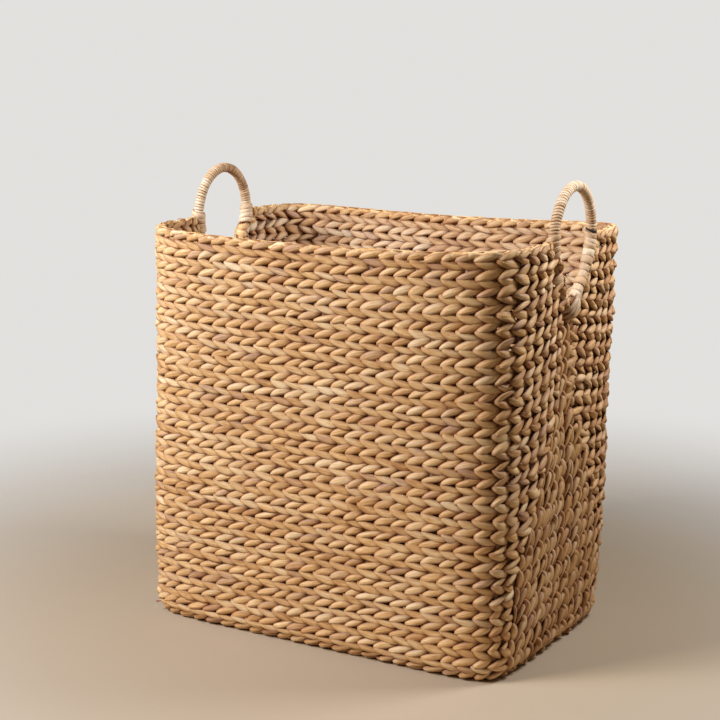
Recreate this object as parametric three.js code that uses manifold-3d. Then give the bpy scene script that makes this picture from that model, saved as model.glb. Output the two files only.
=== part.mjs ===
// A tall rectangular basket, twined from flattened plant leaves round upright cane stakes.
//
// The wall is a sandwich. The stakes stand between an outer and an inner layer of weft, and the
// weft is laid in bands that are stacked from the foot to the rim. A rope-like border on an iron
// rod closes the rim. A stiff teardrop hoop, wrapped with peel, is lashed in a notch at each end.
//
// Millimetres, +Z up, +X along the width. The origin is the middle of the foot, on the floor.

import * as THREE from 'three';
import { mergeVertices } from 'three/addons/utils/BufferGeometryUtils.js';
import Module from 'manifold-3d';

const wasm = await Module();
wasm.setup();

// ---------------------------------------------------------------- driving dimensions

const GAP = 0.3; // air left between two pieces that touch

// The body, measured outside
const WALL_HEIGHT = 560; // floor to the top of the border, in the middle of a long side
const CORNER_RISE = 8; // how much higher the rim stands at the two ends
const FOOT_WIDTH = 570;
const FOOT_DEPTH = 358;
const FOOT_SQUARENESS = 9.5; // superellipse exponent: higher is squarer
const MOUTH_WIDTH = 582;
const MOUTH_DEPTH = 412;
const MOUTH_SQUARENESS = 6.4;
const MOUTH_SHIFT = 18; // the hand-made body leans this far towards +X
const END_DENT = 7; // how deep each end is drawn in at the mouth
const DENT_REACH = 45; // half the width of that hollow
const FOOT_ROUND = 22; // radius between the floor and the wall

// The weave
const LAYER = 5; // one strand's thickness
const STAKE = 4; // a stake is square in section
const STAKE_ROOM = 5.4; // between the two layers of weft
const STAKE_PITCH = 23;
const ROW_HEIGHT = 11;
const ROWS_PER_BAND = 4;
const BAND_ROUND = 1.2; // how far a band's edges fall back from its face
const BASE_CANE_PITCH = 36;

// The border
const BORDER_HEIGHT = 12;
const RIM_ROD = 4; // diameter of the iron rod

// The handles
const HOOP_HALF_WIDTH = 60; // at the middle of the tube, at the hoop's widest level
const HOOP_WIDEST_ABOVE_RIM = 6;
const HOOP_RISE = 68; // from the widest level up to the top
const HOOP_DROP = 92; // from the widest level down to the point
const HANDLE_RADIUS = 7; // over the wrap
const HANDLE_DEPTH = 5; // from the wall's outer face in to the middle of the tube
const CORE_RADIUS = 3;
const COLLAR_THICKNESS = 2.5;
const COLLAR_LENGTH = 28;
const LASHING_HEIGHT = 30;
const LASHING_PROUD = 3; // beyond each face of the wall
const THREAD_THICKNESS = 0.8;
const THREAD_WIDTH = 3;

// Fineness of the solids
const CORNERS = 32; // straight stretches round the body
const LEG_STEPS = 9; // of one leg, from the point to the widest level
const ARCH_STEPS = 8; // of half the arch above it
const COLLAR_STEPS = 3;
const HANDLE_HALF_SIDES = 4; // flats on half of a round section
const OUTLINE_SAMPLES = 240;

// ---------------------------------------------------------------- sizes that follow

const WALL_THICKNESS = 2 * LAYER + STAKE_ROOM;
const WALL_MIDDLE = WALL_THICKNESS / 2;
const WEAVE_TOP = WALL_HEIGHT - BORDER_HEIGHT - GAP;
const INNER_START = LAYER + STAKE_ROOM; // depth of the inner layer's outer face
const LOW_CANE_Z = LAYER + GAP;
const HIGH_CANE_Z = LOW_CANE_Z + STAKE + GAP;
const INNER_BASE_Z = HIGH_CANE_Z + STAKE + GAP;
const INNER_BASE_TOP = INNER_BASE_Z + LAYER;
const BAND_COUNT = Math.max(2, Math.round((WEAVE_TOP - FOOT_ROUND) / (ROW_HEIGHT * ROWS_PER_BAND)));
const HOOP_WIDEST_Z = WALL_HEIGHT + HOOP_WIDEST_ABOVE_RIM;
const HOOP_POINT_Z = HOOP_WIDEST_Z - HOOP_DROP;
const LEG_HALF_GAP = HANDLE_RADIUS + GAP / 2;
const COLLAR_RADIUS = HANDLE_RADIUS + GAP + COLLAR_THICKNESS;
const NOTCH_OFFSET = COLLAR_RADIUS + GAP;

// ---------------------------------------------------------------- materials

function finish(color, roughness, metalness = 0) {
  return new THREE.MeshStandardMaterial({ color, roughness, metalness });
}

const straw = finish(0xc99b62, 0.75);
const innerStraw = finish(0xb5834a, 0.8);
const peel = finish(0xd8b98a, 0.6);
const cane = finish(0xb98f57, 0.7);
const iron = finish(0x3a3633, 0.55, 0.8);
const thread = finish(0x1d1a18, 0.8);

// ---------------------------------------------------------------- solids and meshes

const basket = new THREE.Group();

// A closed three.js geometry as a solid that can be cut and joined
function toSolid(geometry) {
  const plain = geometry.clone();
  plain.deleteAttribute('normal');
  plain.deleteAttribute('uv');
  const merged = mergeVertices(plain);
  const corners = merged.index.array;
  const faces = [];
  for (let k = 0; k < corners.length; k += 3) {
    const [a, b, c] = corners.slice(k, k + 3);
    if (a !== b && b !== c && c !== a) faces.push(a, b, c);
  }
  const vertProperties = Float32Array.from(merged.attributes.position.array);
  const triVerts = Uint32Array.from(faces);
  return new wasm.Manifold(new wasm.Mesh({ numProp: 3, vertProperties, triVerts }));
}

function toGeometry(solid) {
  const { vertProperties, triVerts } = solid.getMesh();
  const geometry = new THREE.BufferGeometry();
  geometry.setAttribute('position', new THREE.BufferAttribute(vertProperties, 3));
  geometry.setIndex(new THREE.BufferAttribute(triVerts, 1));
  geometry.computeVertexNormals();
  return geometry;
}

function addPiece(name, solid, material) {
  const mesh = new THREE.Mesh(toGeometry(solid), material);
  mesh.name = name;
  basket.add(mesh);
}

// What a notch leaves of a ring: one piece, or a front and a back one
function addParts(name, solid, material) {
  const parts = solid.decompose();
  if (parts.length === 1) {
    addPiece(name, solid, material);
    return;
  }
  for (const part of parts) {
    const box = part.boundingBox();
    const side = box.min[1] + box.max[1] < 0 ? 'front' : 'back';
    addPiece(`${name}_${side}`, part, material);
  }
}

// ---------------------------------------------------------------- the wall's surface

// Points round one level of the body, counter-clockwise from the middle of the +X end. They are
// spread by length and by turn alike, so that the rounded corners get their share.
function outline(width, depth, squareness, dent, shift) {
  const dense = [];
  for (let k = 0; k <= OUTLINE_SAMPLES; k++) {
    const angle = (2 * Math.PI * k) / OUTLINE_SAMPLES;
    const c = Math.cos(angle);
    const s = Math.sin(angle);
    const reach =
      (Math.abs(c / (width / 2)) ** squareness + Math.abs(s / (depth / 2)) ** squareness) **
      (-1 / squareness);
    dense.push(new THREE.Vector2(reach * c, reach * s));
  }
  const run = [0];
  for (let k = 1; k < dense.length; k++) {
    const step = dense[k].clone().sub(dense[k - 1]);
    const next = dense[(k % OUTLINE_SAMPLES) + 1].clone().sub(dense[k]);
    const turn = Math.abs(step.cross(next)) / (step.length() * next.length());
    run.push(run[k - 1] + step.length() / (width + depth) + turn / Math.PI);
  }
  const points = [];
  for (let i = 0; i < CORNERS; i++) {
    const want = (run[run.length - 1] * i) / CORNERS;
    let k = 1;
    while (run[k] < want) k++;
    const share = (want - run[k - 1]) / (run[k] - run[k - 1]);
    const point = dense[k - 1].clone().lerp(dense[k], share);
    const inward = dent * Math.exp(-((point.y / DENT_REACH) ** 2));
    point.x -= Math.sign(point.x) * inward * Math.abs(point.x / (width / 2)) ** 4;
    points.push(point.setX(point.x + shift));
  }
  return points;
}

// The outward direction at each point, long enough to keep a wall's thickness round a corner
function outwards(points) {
  return points.map((point, i) => {
    const before = points[(i + CORNERS - 1) % CORNERS];
    const after = points[(i + 1) % CORNERS];
    const a = point.clone().sub(before).normalize();
    const b = after.clone().sub(point).normalize();
    const middle = a.clone().add(b).normalize();
    return new THREE.Vector2(middle.y, -middle.x).divideScalar(middle.dot(a));
  });
}

const footLine = outline(FOOT_WIDTH, FOOT_DEPTH, FOOT_SQUARENESS, 0, 0);
const mouthLine = outline(MOUTH_WIDTH, MOUTH_DEPTH, MOUTH_SQUARENESS, END_DENT, MOUTH_SHIFT);
const footOut = outwards(footLine);
const mouthOut = outwards(mouthLine);

// The wall is ruled: straight lines run from the foot's outline to the mouth's. corner may be a
// fraction, height is the level before the rim's rise, and depth is counted inwards.
function wallPoint(corner, height, depth) {
  const i = Math.floor(corner) % CORNERS;
  const j = (i + 1) % CORNERS;
  const share = corner - Math.floor(corner);
  const level = height / WALL_HEIGHT;
  const at = (line, out) => {
    const first = line[i].clone().addScaledVector(out[i], -depth);
    const second = line[j].clone().addScaledVector(out[j], -depth);
    return first.lerp(second, share);
  };
  const place = at(footLine, footOut).lerp(at(mouthLine, mouthOut), level);
  const centreX = MOUTH_SHIFT * level;
  const rise = CORNER_RISE * ((place.x - centreX) / (MOUTH_WIDTH / 2)) ** 2 * level ** 2;
  return new THREE.Vector3(place.x, place.y, height + rise);
}

// A ring round the body. Its profile is a list of [depth, height], drawn with the outer side
// going up. It is turned on a lathe first, and each point is then moved to its place in the wall.
const LATHE_RADIUS = 1000;

function ring(profile, closed = true) {
  const section = profile.map(([depth, height]) =>
    new THREE.Vector2(depth === Infinity ? 0 : LATHE_RADIUS - depth, height));
  if (closed) section.push(section[0].clone());
  const turned = new THREE.LatheGeometry(section, CORNERS);
  const position = turned.attributes.position;
  for (let k = 0; k < position.count; k++) {
    const x = position.getX(k);
    const z = position.getZ(k);
    const height = position.getY(k);
    const radius = Math.hypot(x, z);
    if (radius < 1) {
      position.setXYZ(k, 0, 0, height);
      continue;
    }
    const turn = Math.atan2(x, z) / (2 * Math.PI);
    const corner = Math.round((turn + 1) * CORNERS) % CORNERS;
    const place = wallPoint(corner, height, LATHE_RADIUS - radius);
    position.setXYZ(k, place.x, place.y, place.z);
  }
  return toSolid(turned);
}

// Points on a quarter round between the wall and the floor, from the wall down
function footArc(radius, steps) {
  const points = [];
  for (let k = 0; k <= steps; k++) {
    const angle = (Math.PI / 2) * (k / steps);
    points.push([FOOT_ROUND - radius * Math.cos(angle), FOOT_ROUND - radius * Math.sin(angle)]);
  }
  return points;
}

// ---------------------------------------------------------------- the handles' line

// The hoop is drawn flat, with x across it and y counted up from its widest level. Below that
// level each leg swings in along a quarter of a sine curve, and above it half an ellipse closes
// the hoop. share is 0 at the point and 1 at the widest level, and offset moves a leg outwards.
function legPoint(share, offset) {
  const swing = HOOP_HALF_WIDTH - LEG_HALF_GAP;
  const angle = (Math.PI / 2) * share;
  const place = new THREE.Vector2(LEG_HALF_GAP + swing * Math.sin(angle), (share - 1) * HOOP_DROP);
  const slope = swing * (Math.PI / 2) * Math.cos(angle);
  return place.addScaledVector(new THREE.Vector2(HOOP_DROP, -slope).normalize(), offset);
}

function halfWidthAt(y) {
  if (y < 0) return legPoint(1 + y / HOOP_DROP, 0).x;
  return HOOP_HALF_WIDTH * Math.sqrt(1 - (y / HOOP_RISE) ** 2);
}

// One half of an outline and its mirror image, as one line
function bothSides(half) {
  const mirrored = half.map((point) => new THREE.Vector2(-point.x, point.y)).reverse();
  return [...half, ...mirrored.filter((point) => point.x < 0)];
}

// The whole hoop, up the back leg, over the top and down the front leg
function hoopLine() {
  const half = [];
  for (let k = 0; k < LEG_STEPS; k++) half.push(legPoint(k / LEG_STEPS, 0));
  for (let k = 0; k < ARCH_STEPS; k++) {
    const angle = (Math.PI / 2) * (k / ARCH_STEPS);
    half.push(new THREE.Vector2(HOOP_HALF_WIDTH * Math.cos(angle), HOOP_RISE * Math.sin(angle)));
  }
  half.push(new THREE.Vector2(0, HOOP_RISE));
  return bothSides(half);
}

// Where the wall stands at one end, side being 1 for +X and -1 for -X
function endX(side, acrossY, height, depth) {
  let corner = side > 0 ? 0 : CORNERS / 2;
  while (Math.abs(wallPoint(corner, height, depth).y) < acrossY) corner += 0.05;
  return wallPoint(corner, height, depth).x;
}

// The hoop lies in one plane, which follows the wall beside its two legs
function onHandle(side, point) {
  const low = endX(side, HOOP_HALF_WIDTH, HOOP_POINT_Z, HANDLE_DEPTH);
  const high = endX(side, HOOP_HALF_WIDTH, WALL_HEIGHT, HANDLE_DEPTH);
  const z = HOOP_WIDEST_Z + point.y;
  const share = (z - HOOP_POINT_Z) / (WALL_HEIGHT - HOOP_POINT_Z);
  return new THREE.Vector3(low + (high - low) * share, point.x, z);
}

// A flat shape in the hoop's plane, made a block that runs along X
function blockAlongX(points, length, x) {
  const block = new THREE.ExtrudeGeometry(new THREE.Shape(points), {
    depth: length,
    bevelEnabled: false,
  });
  block.translate(0, 0, -length / 2);
  block.rotateX(Math.PI / 2);
  block.rotateZ(Math.PI / 2);
  block.translate(x, 0, HOOP_WIDEST_Z);
  return toSolid(block);
}

// The opening for a handle: everything between the outsides of its legs, and all above it
function notch() {
  const half = [];
  for (let k = 0; k <= LEG_STEPS; k++) half.push(legPoint(k / LEG_STEPS, NOTCH_OFFSET));
  half.push(new THREE.Vector2(HOOP_HALF_WIDTH + NOTCH_OFFSET, 2 * HOOP_RISE));
  return blockAlongX(bothSides(half), 2 * Math.max(FOOT_WIDTH, MOUTH_WIDTH), 0);
}

const notchPrism = notch();

// ---------------------------------------------------------------- base

function addBase() {
  const outside = footArc(FOOT_ROUND, 4);
  const inside = footArc(FOOT_ROUND - LAYER, 4);
  const under = [[Infinity, 0], ...outside.reverse(), ...inside, [Infinity, LAYER]];
  addPiece('base_weave_under', ring(under, false), straw);
  const edge = INNER_START;
  const over = [
    [Infinity, INNER_BASE_Z],
    [edge + FOOT_ROUND / 2, INNER_BASE_Z],
    [edge, FOOT_ROUND - GAP],
    [edge, FOOT_ROUND],
    [edge + LAYER, FOOT_ROUND],
    [Infinity, INNER_BASE_TOP],
  ];
  addPiece('base_weave_top', ring(over, false), innerStraw);
}

// ---------------------------------------------------------------- stakes and canes

// A stake between two points, its thickness across the wall
function stake(from, to, outward) {
  const along = to.clone().sub(from);
  const length = along.length();
  along.normalize();
  const side = new THREE.Vector3().crossVectors(outward, along).normalize();
  const across = new THREE.Vector3().crossVectors(along, side);
  const stick = new THREE.BoxGeometry(STAKE, STAKE, length);
  stick.applyMatrix4(new THREE.Matrix4().makeBasis(side, across, along));
  stick.translate(...from.clone().add(to).multiplyScalar(0.5).toArray());
  return toSolid(stick);
}

function uprights() {
  const level = FOOT_ROUND - GAP;
  const middle = LAYER + STAKE_ROOM / 2;
  const lengths = [0];
  for (let i = 0; i < CORNERS; i++) {
    const step = wallPoint(i, WALL_HEIGHT, middle).distanceTo(
      wallPoint((i + 1) % CORNERS, WALL_HEIGHT, middle));
    lengths.push(lengths[i] + step);
  }
  const round = lengths[CORNERS];
  const count = Math.round(round / STAKE_PITCH);
  const stakes = [];
  for (let n = 0; n < count; n++) {
    const want = (round * (n + 0.5)) / count;
    let i = 1;
    while (lengths[i] < want) i++;
    const corner = i - 1 + (want - lengths[i - 1]) / (lengths[i] - lengths[i - 1]);
    const low = wallPoint(corner, level, middle);
    const high = wallPoint(corner, WEAVE_TOP - GAP, middle);
    const halfway = WALL_HEIGHT / 2;
    const outward = wallPoint(corner, halfway, 0).sub(wallPoint(corner, halfway, middle));
    stakes.push(stake(low, high, outward));
  }
  return stakes;
}

// Half the foot's outside length, measured along one axis at a distance across from the middle
function footReach(halfAlong, halfAcross, across) {
  return halfAlong * (1 - (across / halfAcross) ** FOOT_SQUARENESS) ** (1 / FOOT_SQUARENESS);
}

// The canes that cross the base lie in two sheets, and end in the bend at the foot
function baseCanes() {
  const canes = [];
  const halfX = FOOT_WIDTH / 2;
  const halfY = FOOT_DEPTH / 2;
  const alongX = Math.floor((halfY - 2 * FOOT_ROUND) / BASE_CANE_PITCH);
  for (let k = -alongX; k <= alongX; k++) {
    const y = k * BASE_CANE_PITCH;
    const reach = footReach(halfX, halfY, Math.abs(y)) - FOOT_ROUND + 2 * GAP;
    const stick = new THREE.BoxGeometry(2 * reach, STAKE, STAKE);
    canes.push(toSolid(stick.translate(0, y, LOW_CANE_Z + STAKE / 2)));
  }
  const alongY = Math.floor((halfX - 2 * FOOT_ROUND) / BASE_CANE_PITCH);
  for (let k = -alongY; k <= alongY; k++) {
    const x = k * BASE_CANE_PITCH;
    const reach = footReach(halfY, halfX, Math.abs(x)) - FOOT_ROUND + 2 * STAKE;
    const stick = new THREE.BoxGeometry(STAKE, 2 * reach, STAKE);
    canes.push(toSolid(stick.translate(x, 0, HIGH_CANE_Z + STAKE / 2)));
  }
  return canes;
}

function addStakes() {
  const outer = FOOT_ROUND - LAYER - GAP;
  const bend = [...footArc(outer, 4).reverse(), ...footArc(outer - STAKE, 4)];
  const cage = wasm.Manifold.union([ring(bend), ...uprights(), ...baseCanes()]);
  addPiece('stake_cage', cage.subtract(notchPrism), cane);
}

// ---------------------------------------------------------------- weft bands

function addBands() {
  const outerHeight = (WEAVE_TOP - FOOT_ROUND) / BAND_COUNT;
  for (let n = 0; n < BAND_COUNT; n++) {
    const low = FOOT_ROUND + n * outerHeight + GAP;
    const high = FOOT_ROUND + (n + 1) * outerHeight;
    const outer = [
      [BAND_ROUND, low],
      [0, (low + high) / 2],
      [BAND_ROUND, high],
      [LAYER, high],
      [LAYER, low],
    ];
    const inner = [
      [INNER_START, low],
      [INNER_START, high],
      [WALL_THICKNESS, high],
      [WALL_THICKNESS, low],
    ];
    const number = String(n + 1).padStart(2, '0');
    addParts(`weft_outer_${number}`, ring(outer).subtract(notchPrism), straw);
    addParts(`weft_inner_${number}`, ring(inner).subtract(notchPrism), innerStraw);
  }
}

// ---------------------------------------------------------------- rim border

// A ring of round or oval section in the middle of the wall's thickness
function oval(halfDepth, halfHeight, sides) {
  const profile = [];
  const level = WALL_HEIGHT - BORDER_HEIGHT / 2;
  for (let k = 0; k < sides; k++) {
    const angle = (2 * Math.PI * (k + 0.5)) / sides;
    const depth = WALL_MIDDLE - halfDepth * Math.cos(angle);
    profile.push([depth, level + halfHeight * Math.sin(angle)]);
  }
  return ring(profile);
}

function addBorder() {
  const rodRadius = RIM_ROD / 2;
  const border = oval(WALL_MIDDLE, BORDER_HEIGHT / 2, 8);
  const channel = oval(rodRadius + GAP, rodRadius + GAP, 6);
  addParts('rim_border', border.subtract(channel).subtract(notchPrism), straw);
  addParts('rim_rod', oval(rodRadius, rodRadius, 6).subtract(notchPrism), iron);
}

// ---------------------------------------------------------------- handles

// A section of few flats has its corners on the circle, so a hole that must clear a round piece
// is drawn larger, with its flats on the circle
const CLEAR = 1 / Math.cos(Math.PI / (2 * HANDLE_HALF_SIDES));

function sleeve(line, outerRadius, innerRadius, steps) {
  const section = new THREE.Shape();
  section.absarc(0, 0, outerRadius, 0, 2 * Math.PI);
  if (innerRadius > 0) {
    const hole = new THREE.Path();
    hole.absarc(0, 0, innerRadius * CLEAR, 0, 2 * Math.PI, true);
    section.holes.push(hole);
  }
  return toSolid(new THREE.ExtrudeGeometry(section, {
    steps,
    curveSegments: HANDLE_HALF_SIDES,
    bevelEnabled: false,
    extrudePath: line,
  }));
}

// A short sleeve on one leg, leg being -1 for the front one and 1 for the back
function legSleeve(side, leg, z, length, outerRadius) {
  const points = [z - length / 2, z, z + length / 2].map((level) => {
    const y = level - HOOP_WIDEST_Z;
    return onHandle(side, new THREE.Vector2(leg * halfWidthAt(y), y));
  });
  const line = new THREE.CatmullRomCurve3(points);
  return sleeve(line, outerRadius, HANDLE_RADIUS + GAP, COLLAR_STEPS);
}

// The bundle of strands that fills the notch's point and ties both legs to the wall
function lashing(side, legs) {
  const share = LASHING_HEIGHT / HOOP_DROP;
  const half = [0, share / 2, share].map((at) => legPoint(at, NOTCH_OFFSET - GAP));
  half[0].y += GAP;
  const level = HOOP_WIDEST_Z + half[1].y;
  const x = endX(side, half[1].x, level, WALL_MIDDLE);
  const length = WALL_THICKNESS + 2 * LASHING_PROUD;
  return blockAlongX(bothSides(half), length, x).subtract(legs);
}

function addHandle(name, side) {
  const points = hoopLine().map((point) => onHandle(side, point));
  const line = new THREE.CatmullRomCurve3(points);
  const steps = points.length - 1;
  addPiece(`${name}_core`, sleeve(line, CORE_RADIUS, 0, steps), iron);
  addPiece(`${name}_wrap`, sleeve(line, HANDLE_RADIUS, CORE_RADIUS + GAP, steps), peel);
  for (const [place, leg] of [['front', -1], ['back', 1]]) {
    const collar = legSleeve(side, leg, WALL_HEIGHT, COLLAR_LENGTH, COLLAR_RADIUS);
    addPiece(`${name}_collar_${place}`, collar, peel);
  }
  points[0].z -= GAP;
  points[points.length - 1].z -= GAP;
  const cutter = new THREE.CatmullRomCurve3(points);
  const legs = sleeve(cutter, (HANDLE_RADIUS + GAP) * CLEAR, 0, steps);
  addPiece(`${name}_lashing`, lashing(side, legs), peel);
}

function addThread() {
  const z = WALL_HEIGHT + COLLAR_LENGTH / 2 + THREAD_WIDTH;
  const radius = HANDLE_RADIUS + GAP + THREAD_THICKNESS;
  addPiece('thread_tie', legSleeve(1, 1, z, THREAD_WIDTH, radius), thread);
}

// ---------------------------------------------------------------- the basket

addBase();
addStakes();
addBands();
addBorder();
addHandle('handle_right', 1);
addHandle('handle_left', -1);
addThread();

export default basket;
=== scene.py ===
# %% [markdown]
# # A twined laundry basket
# A tall basket is twined from flattened water-hyacinth leaf. Two strands run along each row, one on
# each side of a stake, and they cross over in the gap before the next stake. Neighbouring rows are
# crossed in opposite directions, so two rows together make a chevron. The rim ends in a thick
# rope-like row, and a stiff hoop, wound with pale peel, is lashed into a notch at each end.
#
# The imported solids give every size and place. They are loaded first, and the woven pieces are then
# made around them and stand for them.

# %% Load the solid model
import math

import bpy
import numpy as np
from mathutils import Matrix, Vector


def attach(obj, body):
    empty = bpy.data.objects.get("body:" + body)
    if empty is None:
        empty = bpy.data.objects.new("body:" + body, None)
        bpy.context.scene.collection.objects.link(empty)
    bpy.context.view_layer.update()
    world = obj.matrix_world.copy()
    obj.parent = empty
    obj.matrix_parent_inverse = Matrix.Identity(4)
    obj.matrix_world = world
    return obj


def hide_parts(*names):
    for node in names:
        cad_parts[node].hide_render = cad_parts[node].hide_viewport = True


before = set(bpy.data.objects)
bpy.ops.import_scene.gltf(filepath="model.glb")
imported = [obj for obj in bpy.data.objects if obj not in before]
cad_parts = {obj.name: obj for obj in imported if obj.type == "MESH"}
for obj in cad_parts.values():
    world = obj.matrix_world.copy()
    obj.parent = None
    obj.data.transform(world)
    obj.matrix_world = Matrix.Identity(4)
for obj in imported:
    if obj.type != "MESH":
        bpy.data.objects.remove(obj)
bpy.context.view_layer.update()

MM = 0.001
rng = np.random.default_rng(11)

# %% [markdown]
# ## Camera, floor and light
# The camera stands a little above the rim and looks at the front and at the right-hand end. The
# floor is plain and pale, and fades out into a pale background. A large soft window lights the
# basket from the left, and the same daylight, cooler, comes in close by the left end and pales the
# leaves near the rim. A small skylight above and behind the right-hand end picks out its weave, and
# a warm even sky fills the shadows.

# %% Camera
CAMERA_PLACE = (1.1945, -2.0050, 0.8373)
CAMERA_YAW = 0.5468
CAMERA_PITCH = 0.1456
CAMERA_LENS = 83.49
CAMERA_SHIFT = -0.12
camera = bpy.data.objects.new("camera", bpy.data.cameras.new("camera"))
bpy.context.scene.collection.objects.link(camera)
camera.data.lens = CAMERA_LENS
camera.data.sensor_width = 36
camera.data.shift_y = CAMERA_SHIFT
camera.location = CAMERA_PLACE
camera.rotation_euler = (math.pi / 2 - CAMERA_PITCH, 0, CAMERA_YAW)
bpy.context.scene.camera = camera
print("camera at", CAMERA_PLACE, "lens", CAMERA_LENS)

# %% Colour management
view = bpy.context.scene.view_settings
view.view_transform = "Standard"
print("view transform:", view.view_transform)

# %% Material helper
def new_material(name):
    """A material with its Principled shader, and a function that adds and links nodes."""
    material = bpy.data.materials.new(name)
    material.use_nodes = True
    tree = material.node_tree
    shader = tree.nodes["Principled BSDF"]

    def add(kind, inputs=None, **settings):
        node = tree.nodes.new(kind)
        for key, value in settings.items():
            setattr(node, key, value)
        for key, value in (inputs or {}).items():
            if isinstance(value, bpy.types.NodeSocket):
                tree.links.new(value, node.inputs[key])
            else:
                node.inputs[key].default_value = value
        return node

    def link(out_socket, in_name):
        tree.links.new(out_socket, shader.inputs[in_name])

    return material, shader, add, link


def blended(add, share, under, over, **settings):
    """A mix of two colours, each of them a plain value or the output of another node."""
    mix = add("ShaderNodeMix", {0: share, 6: under, 7: over}, data_type="RGBA", **settings)
    return mix.outputs[2]


print("helpers for materials:", new_material.__name__, blended.__name__)

# %% Floor
FLOOR_COLOUR = (0.47, 0.375, 0.26, 1)
FLOOR_RADIUS = 30
FADE_START = 0.35
FADE_END = 1.45


def deselect():
    """Operators act on all that is selected, so everything is let go first."""
    if bpy.context.object and bpy.context.object.mode != "OBJECT":
        bpy.ops.object.mode_set(mode="OBJECT")
    bpy.ops.object.select_all(action="DESELECT")


deselect()
bpy.ops.mesh.primitive_circle_add(vertices=64, radius=FLOOR_RADIUS, fill_type="NGON")
floor = bpy.context.object
floor.name = "floor"
paint, shader, add, link = new_material("pale_floor")
shader.inputs["Base Color"].default_value = FLOOR_COLOUR
shader.inputs["Roughness"].default_value = 0.7
coords = add("ShaderNodeTexCoord")
distance = add("ShaderNodeVectorMath", {0: coords.outputs["Object"]}, operation="LENGTH")
fading = add("ShaderNodeMapRange", {
    "Value": distance.outputs["Value"], "From Min": FADE_START, "From Max": FADE_END,
    "To Min": 1.0, "To Max": 0.0}, interpolation_type="SMOOTHSTEP")
link(fading.outputs["Result"], "Alpha")
floor.data.materials.append(paint)
print("floor ready")

# %% Light
LAMP_AIM = (0, 0, 0.35)
KEY_POWER = 53
TOP_POWER = 10
FILL_POWER = 10.5


def soft_window(name, place, size, power, colour):
    """A square of light that faces the middle of the basket."""
    lamp = bpy.data.objects.new(name, bpy.data.lights.new(name, "AREA"))
    lamp.data.shape = "SQUARE"
    lamp.data.size = size
    lamp.data.energy = power
    lamp.data.color = colour
    lamp.location = place
    aim = Vector(LAMP_AIM) - Vector(place)
    lamp.rotation_euler = aim.to_track_quat("-Z", "Y").to_euler()
    bpy.context.scene.collection.objects.link(lamp)


soft_window("window", (-1.12, -1.76, 1.70), 0.8, KEY_POWER, (1.04, 0.99, 0.94))
soft_window("high_window", (-0.72, -0.95, 1.2), 0.5, TOP_POWER, (0.84, 0.97, 1.30))
soft_window("skylight", (0.75, 0.3, 1.15), 0.35, FILL_POWER, (0.94, 0.96, 1.02))

print("window", KEY_POWER, "W, high window", TOP_POWER, "W, skylight", FILL_POWER, "W")

# %% Sky
SKY_COLOUR = (1.0, 0.77, 0.53, 1)
SKY_STRENGTH = 0.14
BACKDROP = (0.76, 0.75, 0.73, 1)
world = bpy.data.worlds.new("studio")
bpy.context.scene.world = world
world.use_nodes = True
sky = world.node_tree.nodes["Background"]
sky.inputs["Color"].default_value = SKY_COLOUR
sky.inputs["Strength"].default_value = SKY_STRENGTH
pale = world.node_tree.nodes.new("ShaderNodeBackground")
pale.inputs["Color"].default_value = BACKDROP
path = world.node_tree.nodes.new("ShaderNodeLightPath")
choose = world.node_tree.nodes.new("ShaderNodeMixShader")
links = world.node_tree.links
links.new(path.outputs["Is Camera Ray"], choose.inputs[0])
links.new(sky.outputs[0], choose.inputs[1])
links.new(pale.outputs[0], choose.inputs[2])
links.new(choose.outputs[0], world.node_tree.nodes["World Output"].inputs["Surface"])
print("sky strength", SKY_STRENGTH, "and a backdrop that only the camera sees")

# %% [markdown]
# ## The wall as a surface to weave on
# Every strand has to follow the wall, so the wall is turned into a function. It takes a place along
# a row, counted in stakes, a height and a distance out of the middle of the wall. The outline is
# measured on two of the solid bands, one near the floor and one near the rim. A straight line joins
# them, as a stake would.

# %% Sizes of the weave
STAKES = 76
WALL_HEIGHT = 560 * MM
BORDER_HEIGHT = 12 * MM
WEAVE_TOP = 547.7 * MM
FOOT_ROUND = 22 * MM
WALL_MIDDLE = 7.7 * MM
ROWS_PER_BAND = 4
BANDS = 12
ROW = (WEAVE_TOP - FOOT_ROUND) / (BANDS * ROWS_PER_BAND)
END_RISE = 8 * MM
BELLY = 3.0 * MM
BELLY_TOP = 0.62 * WALL_HEIGHT
SAMPLES = 40  # per stake, in the tables below
print("row height mm:", round(ROW / MM, 2))


# %% Measure the outline of one solid band
def band_outline(node):
    """The corners of a band's widest line, counter-clockwise from the +X end, and its height."""
    points = {tuple(np.round(v.co, 5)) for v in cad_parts[node].data.vertices}
    points = np.array(sorted(points))
    low, high = points[:, 2].min(), points[:, 2].max()
    middle = np.abs(points[:, 2] - (low + high) / 2) < (high - low) / 5
    ring = points[middle]
    centre = (ring.min(0) + ring.max(0)) / 2
    angle = (np.arctan2(ring[:, 1], ring[:, 0] - centre[0]) + 0.01) % (2 * np.pi)
    ring = ring[np.argsort(angle)]
    return ring[:, :2], ring[:, 2].min()


def smooth_closed(points, per_side=64):
    """A smooth closed line through the corners."""
    ahead = np.roll(points, -1, 0) - points
    length = np.linalg.norm(ahead, axis=1, keepdims=True)
    behind, before = np.roll(ahead, 1, 0), np.roll(length, 1, 0)
    slope = (ahead / length * before + behind / before * length) / (length + before)
    share = (np.arange(per_side) / per_side)[None, :, None]
    p0, p1 = points[:, None], np.roll(points, -1, 0)[:, None]
    m0, m1 = (slope * length)[:, None], (np.roll(slope, -1, 0) * length)[:, None]
    t2, t3 = share**2, share**3
    line = p0 * (2 * t3 - 3 * t2 + 1) + m0 * (t3 - 2 * t2 + share)
    line = line + p1 * (3 * t2 - 2 * t3) + m1 * (t3 - t2)
    return line.reshape(-1, 2)


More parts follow.
